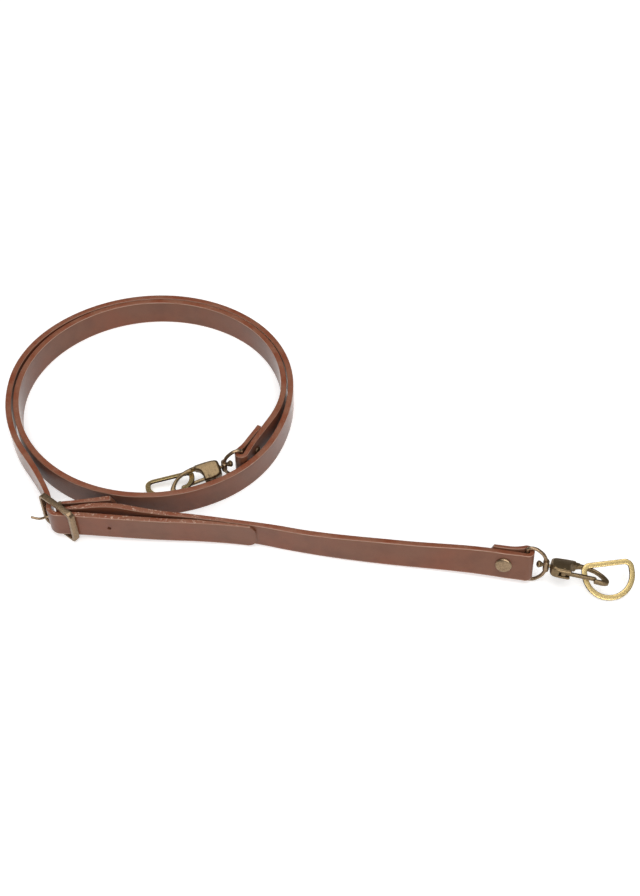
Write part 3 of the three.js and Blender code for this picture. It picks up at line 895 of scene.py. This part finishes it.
def rivet_cap(radius):
    """A low dome with a rolled rim, its underside on z = 0."""
    cap = cylinder("cap", 56, radius, CAP_RISE * 0.4, (0, 0, CAP_RISE * 0.2))
    pick(cap, "FACE", lambda centre, normal: normal.z > 0.9)
    for inset, lift in ((0.0005, 0.32), (0.0006, 0.16), (0.0008, 0.08), (0.0009, 0.04)):
        bpy.ops.mesh.inset(thickness=inset)
        bpy.ops.transform.translate(value=(0, 0, CAP_RISE * lift))
    done_editing()
    round_edges(cap, 0.00022, 3, 30)
    modify(cap, "SUBSURF", levels=1, render_levels=1)
    return cap


class STRAP_OT_rivets(bpy.types.Operator):
    """Make the three rivets with a cap on each side"""
    bl_idname = "bag_strap.rivets"
    bl_label = "Rivets"

    def execute(self, context):
        for node, (*hold, front_radius, back_radius) in RIVETS.items():
            front, back = rivet_seat(*hold)
            axis = (back - front).normalized()
            caps = []
            for end, outward, radius in ((front, -axis, front_radius), (back, axis, back_radius)):
                cap = rivet_cap(radius * MM)
                turn = outward.to_track_quat("Z", "Y").to_matrix().to_4x4()
                place(cap, end + outward * CAP_LIFT, turn)
                caps.append(cap)
            post = round_bar("post", (back - front).length, RIVET_POST, 20, 1)
            place(post, front, axis.to_track_quat("X", "Z").to_matrix().to_4x4())
            piece = caps[0]
            weld(piece, [caps[1], post])
            piece.name = node + "_caps"
            shade(piece, 50)
            finish_piece(piece, "antique_brass_plate", "strap", node)
        return {"FINISHED"}


def buckle_plate():
    """The buckle's rounded frame with its centre bar set back on two lugs."""
    sizes = bpy.context.scene.buckle_sizes
    select_none()
    length = sizes.length + sizes.proud
    bpy.ops.mesh.primitive_plane_add(size=1, location=(sizes.proud / 2, 0, 0))
    plate = started("buckle_frame_plate", (length, sizes.height, 1))
    pick(plate, "VERT")
    bpy.ops.mesh.bevel(affect="VERTICES", offset=sizes.corner, segments=9)
    done_editing()
    pick(plate, "FACE")
    bpy.ops.mesh.inset(thickness=sizes.side)
    window = length - 2 * sizes.side
    narrower = sizes.front - sizes.side
    bpy.ops.transform.resize(value=(1 - narrower / window, 1, 1))
    bpy.ops.transform.translate(value=(-narrower / 2, 0, 0))
    bpy.ops.mesh.delete(type="FACE")
    bpy.ops.mesh.select_all(action="SELECT")
    bpy.ops.mesh.extrude_region_move(TRANSFORM_OT_translate={"value": (0, 0, sizes.thick)})
    bpy.ops.mesh.select_all(action="SELECT")
    bpy.ops.transform.translate(value=(0, 0, -sizes.thick / 2))
    bpy.ops.mesh.normals_make_consistent()
    done_editing()
    round_edges(plate, 0.00032, 3, 50)

    reach = sizes.height - sizes.rail
    shift, set_back = BAR_SHIFT * MM, BAR_SET_BACK * MM
    bar = round_bar("bar", reach, sizes.bar, 32, 4)
    place(bar, (shift, -reach / 2, -set_back), turned(90, "Z"))
    depth = set_back + sizes.bar / 2
    for side in (-1, 1):
        at = (shift, side * (reach / 2 - LUG["inset"]), -depth / 2)
        lug = box("lug", at, (LUG["width"], sizes.rail, depth))
        modify(lug, "BEVEL", width=LUG["round"], segments=4)
        combine(plate, lug, "UNION")
    combine(plate, bar, "UNION")
    turn = turned(BUCKLE_HEADING, "Z") @ turned(90, "X")
    place(plate, (BUCKLE_CENTRE + ROUTE_ORIGIN) * MM, turn)
    shade(plate, 35)
    return plate


class STRAP_OT_buckle(bpy.types.Operator):
    """Make the buckle's frame with its centre bar, and the prong round the bar"""
    bl_idname = "bag_strap.buckle"
    bl_label = "Buckle"

    def execute(self, context):
        piece = buckle_plate()
        finish_piece(piece, "antique_brass_plate", "strap", "buckle_frame")
        line = prong_line()
        prong = round_bar("buckle_prong_wire", line_length(line), PRONG_WIRE, 16, 90)
        bend_along(prong, line)
        shade(prong, 50)
        finish_piece(prong, "antique_brass_plate", "strap", "buckle_prong")
        return {"FINISHED"}


def eye_line():
    """The middle line of the eye's wire in plan: from the collar round the fold and back."""
    upper = [
        (EYE_DEPTH, 0.4), (9.85, 3), (8.3, 6.4), (5.2, EYE_TOP - 0.7), (3, EYE_TOP), (1.6, EYE_TOP),
        (0.45, EYE_TOP - 0.45), (0, EYE_TOP - 1.6), (0, 4),
    ]
    lower = [(x, -y) for x, y in reversed(upper)]
    return smooth_line([Vector((x, y, 0)) * MM for x, y in upper + [(0, 0)] + lower], 0.0003)


def add_collar(eye):
    """Unites the eye's wire with its collar, and drills the collar for the hook's stem."""
    middle = (EYE_DEPTH * MM, 0, 0)
    collar = cylinder(
        "collar", 48, COLLAR["radius"], COLLAR["length"], middle, (math.pi / 2, 0, 0))
    pick(collar, "VERT")
    bpy.ops.transform.resize(value=(1, 1, COLLAR["widened"]), center_override=middle)
    done_editing()
    round_edges(collar, 0.0006, 4, 50)
    combine(eye, collar, "UNION")
    combine(eye, cylinder("bore", 32, COLLAR["bore"], 0.008, middle, (0, math.pi / 2, 0)))


class STRAP_OT_eyes(bpy.types.Operator):
    """Make the two swivel eyes that sit in the folds"""
    bl_idname = "bag_strap.swivel_eyes"
    bl_label = "Swivel eyes"

    def execute(self, context):
        line = eye_line()
        for end, clasp in CLASPS.items():
            eye = round_bar(f"{end}_eye_wire", line_length(line), EYE_WIRE, 20, 150)
            bend_along(eye, line)
            add_collar(eye)
            pivot = joint_named(f"{end}_eye_pivot")
            _, axis_y, axis_z = pivot["axis"]
            lean = Matrix.Rotation(-math.atan2(axis_y, axis_z), 4, "X")
            place(eye, pivot["pos_m"], lean @ turned(clasp["eye_heading"], "Z") @ turned(90, "X"))
            shade(eye, 40)
            finish_piece(eye, "antique_brass_plate", f"{end}_eye", f"{end}_swivel_eye")
        return {"FINISHED"}


def stretch_shoulder(piece, seat, axis):
    """Moves the end face of a hook's shoulder a little nearer to its eye."""
    def on_shoulder(co):
        along = (co - seat).dot(axis)
        off_stem = (co - seat - axis * along).length > SHOULDER["stem"]
        return SHOULDER["from"] < along < SHOULDER["to"] and off_stem

    pick(piece, "VERT", on_shoulder)
    bpy.ops.transform.translate(value=-axis * SHOULDER["stretch"])
    done_editing()


def crown(piece, seat, along, through):
    """Rounds the two flat faces of a hook's block gently, highest along its middle line."""
    across = along.cross(through).normalized()
    for vertex in piece.data.vertices:
        offset = vertex.co - seat
        reach, side, depth = offset.dot(along), offset.dot(across), offset.dot(through)
        starts = smooth(clamped((reach - CROWN["from"]) / 0.002))
        ends = smooth(clamped((CROWN["to"] - reach) / 0.005))
        dome = max(0.0, 1 - (side / CROWN["half_width"]) ** 2)
        face = clamped((abs(depth) - CROWN["core"]) / 0.001)
        vertex.co += through * math.copysign(CROWN["rise"] * (starts * ends) * dome * face, depth)


class STRAP_OT_hooks(bpy.types.Operator):
    """Make the two cast hook bodies"""
    bl_idname = "bag_strap.hook_bodies"
    bl_label = "Hook bodies"

    def execute(self, context):
        for end in CLASPS:
            piece = copy_of(f"{end}_hook_body", f"{end}_hook_casting")
            swivel = joint_named(f"{end}_swivel")
            seat, axis = Vector(swivel["pos_m"]), Vector(swivel["axis"])
            stretch_shoulder(piece, seat, axis)
            cast(piece, 8, 0.00009)
            crown(piece, seat, axis, Vector(joint_named(f"{end}_gate_hinge")["axis"]))
            finish_piece(piece, "antique_brass_casting", f"{end}_hook", f"{end}_hook_body")
        return {"FINISHED"}


class STRAP_OT_gates(bpy.types.Operator):
    """Make the two sprung gates"""
    bl_idname = "bag_strap.hook_gates"
    bl_label = "Hook gates"

    def execute(self, context):
        for end in CLASPS:
            piece = copy_of(f"{end}_hook_gate", f"{end}_gate_lever")
            cast(piece, 4, 0.00005)
            finish_piece(piece, "antique_brass_casting", f"{end}_gate", f"{end}_hook_gate")
        return {"FINISHED"}


def arc(x, y, radius, start, end, steps):
    """Points along an arc from one angle to another, in degrees."""
    angles = [math.radians(lerp(start, end, i / steps)) for i in range(steps + 1)]
    return [Vector((x + radius * math.cos(a), y + radius * math.sin(a), 0)) for a in angles]


def d_line(sizes):
    """A D-ring's closed middle line: straight side on X through the origin, bow towards -Y."""
    band = sizes.band / MM
    half = (sizes.width / MM - band) / 2
    bow_top = half + band - sizes.depth / MM
    radius = sizes.corner / MM - 0.3 * band
    end = half - radius
    points = arc(0, bow_top, half, 180, 360, 40) + arc(end, -radius, radius, 0, 90, 12)
    points += [Vector((lerp(end, -end, i / 20), 0, 0)) for i in range(1, 20)]
    points += arc(-end, -radius, radius, 90, 180, 12)
    return [point * MM for point in points + points[:1]]


class STRAP_OT_rings(bpy.types.Operator):
    """Make the two D-rings from flat bar"""
    bl_idname = "bag_strap.d_rings"
    bl_label = "D-rings"

    def execute(self, context):
        sizes = context.scene.ring_sizes
        line = d_line(sizes)
        length = line_length(line)
        for end, clasp in CLASPS.items():
            size = (length, sizes.band, sizes.thick)
            ring = box(f"{end}_ring_bar", (length / 2, 0, 0), size)
            pick(ring, "FACE", lambda centre, normal: abs(normal.x) > 0.9)
            bpy.ops.mesh.delete(type="FACE")
            done_editing()
            pick(ring, "EDGE", lambda a, b: abs(a.x - b.x) > 0.01)
            bpy.ops.mesh.bevel(offset=0.0004, segments=4)
            done_editing()
            pick(ring, "EDGE", lambda a, b: abs(a.x - b.x) > 0.01)
            bpy.ops.mesh.subdivide(number_cuts=159)
            done_editing()
            keep_flat(ring)
            bend_along(ring, line)
            pick(ring, "VERT")
            bpy.ops.mesh.remove_doubles(threshold=0.00005)
            bpy.ops.mesh.normals_make_consistent()
            done_editing()
            lies = clasp["ring"]
            angles = [math.radians(lies[key]) for key in ("roll", "pitch", "heading")]
            turn = Euler(angles, "XYZ").to_matrix().to_4x4()
            place(ring, (Vector(lies["at"]) + ROUTE_ORIGIN) * MM, turn)
            shade(ring, 50)
            finish_piece(ring, "bright_brass_plate", f"{end}_hook", f"{end}_d_ring")
        return {"FINISHED"}


# ---------------- stage

class STRAP_OT_stage(bpy.types.Operator):
    """Lay the pale floor, set the soft lights and the camera"""
    bl_idname = "bag_strap.stage"
    bl_label = "Stage"

    def execute(self, context):
        setup = context.scene.stage_setup
        select_none()
        bpy.ops.mesh.primitive_plane_add(size=setup.floor_size)
        floor = started("pale_floor")
        material = new_material("pale_floor_paint")
        n = Nodes(material.node_tree)
        seen = n.add("ShaderNodeLightPath").outputs["Is Camera Ray"]
        glow = n.span(seen, 0.0, 1.0, setup.floor_glow, setup.floor_bright)
        shader = n.add("ShaderNodeBsdfPrincipled", {
            "Base Color": (0.9, 0.9, 0.9, 1), "Roughness": 0.8, "Emission Color": (1, 1, 1, 1),
            "Emission Strength": glow})
        n.add("ShaderNodeOutputMaterial", {"Surface": shader.outputs[0]})
        floor.data.materials.append(material)

        world = bpy.data.worlds.new("studio")
        world.use_nodes = True
        context.scene.world = world
        world.node_tree.nodes.clear()
        n = Nodes(world.node_tree)
        towards = n.add("ShaderNodeTexCoord").outputs["Generated"]
        height = n.add("ShaderNodeSeparateXYZ", {0: towards}).outputs["Z"]
        level = n.span(height, 0.76, 0.94, setup.horizon, setup.zenith)
        background = n.add("ShaderNodeBackground", {"Color": (1, 1, 1, 1), "Strength": level})
        n.add("ShaderNodeOutputWorld", {"Surface": background.outputs[0]})

        for name, at, size, power in (
            ("softbox_above", (-0.1, -0.1, 1.3), 1.4, setup.key),
            ("softbox_front", (0.3, -1.3, 0.75), 0.8, setup.front),
        ):
            data = bpy.data.lights.new(name, "AREA")
            data.size = size
            data.energy = power
            lamp = bpy.data.objects.new(name, data)
            lamp.location = at
            lamp.rotation_euler = (-Vector(at)).to_track_quat("-Z", "Y").to_euler()
            context.collection.objects.link(lamp)

        data = bpy.data.cameras.new("camera")
        data.lens = setup.lens
        data.clip_start = 0.01
        camera = bpy.data.objects.new("camera", data)
        camera.location = (0.00925, -0.44914, 0.507)
        camera.rotation_euler = (math.radians(41.3), 0, 0)
        context.collection.objects.link(camera)
        context.scene.camera = camera
        context.scene.view_settings.view_transform = "Standard"
        return {"FINISHED"}


class STRAP_PT_panel(bpy.types.Panel):
    """Lists the pieces of the bag strap"""
    bl_idname = "STRAP_PT_panel"
    bl_label = "Bag Strap"
    bl_space_type = "VIEW_3D"
    bl_region_type = "UI"
    bl_category = "Bag Strap"

    def draw(self, context):
        for group in GROUPS:
            settings = getattr(context.scene, group)
            rows = self.layout.box()
            for key in settings.__annotations__:
                rows.prop(settings, key)
        for operator in OPERATORS:
            self.layout.operator(operator.bl_idname)


GROUPS = {
    "strap_sizes": StrapSizes,
    "buckle_sizes": BuckleSizes,
    "ring_sizes": RingSizes,
    "leather_finish": LeatherFinish,
    "brass_finish": BrassFinish,
    "stage_setup": StageSetup,
}
OPERATORS = (
    STRAP_OT_stage, STRAP_OT_long, STRAP_OT_short, STRAP_OT_rivets, STRAP_OT_buckle,
    STRAP_OT_eyes, STRAP_OT_hooks, STRAP_OT_gates, STRAP_OT_rings,
)


def register():
    for name, group in GROUPS.items():
        bpy.utils.register_class(group)
        setattr(bpy.types.Scene, name, bpy.props.PointerProperty(type=group))
    for operator in OPERATORS:
        bpy.utils.register_class(operator)
    bpy.utils.register_class(STRAP_PT_panel)


def unregister():
    bpy.utils.unregister_class(STRAP_PT_panel)
    for operator in reversed(OPERATORS):
        bpy.utils.unregister_class(operator)
    for name, group in GROUPS.items():
        delattr(bpy.types.Scene, name)
        bpy.utils.unregister_class(group)


def main():
    register()
    bpy.ops.bag_strap.stage()
    bpy.ops.bag_strap.long_strap()
    bpy.ops.bag_strap.short_strap()
    bpy.ops.bag_strap.rivets()
    bpy.ops.bag_strap.buckle()
    bpy.ops.bag_strap.swivel_eyes()
    bpy.ops.bag_strap.hook_bodies()
    bpy.ops.bag_strap.hook_gates()
    bpy.ops.bag_strap.d_rings()
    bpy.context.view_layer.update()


if __name__ == "__main__":
    main()
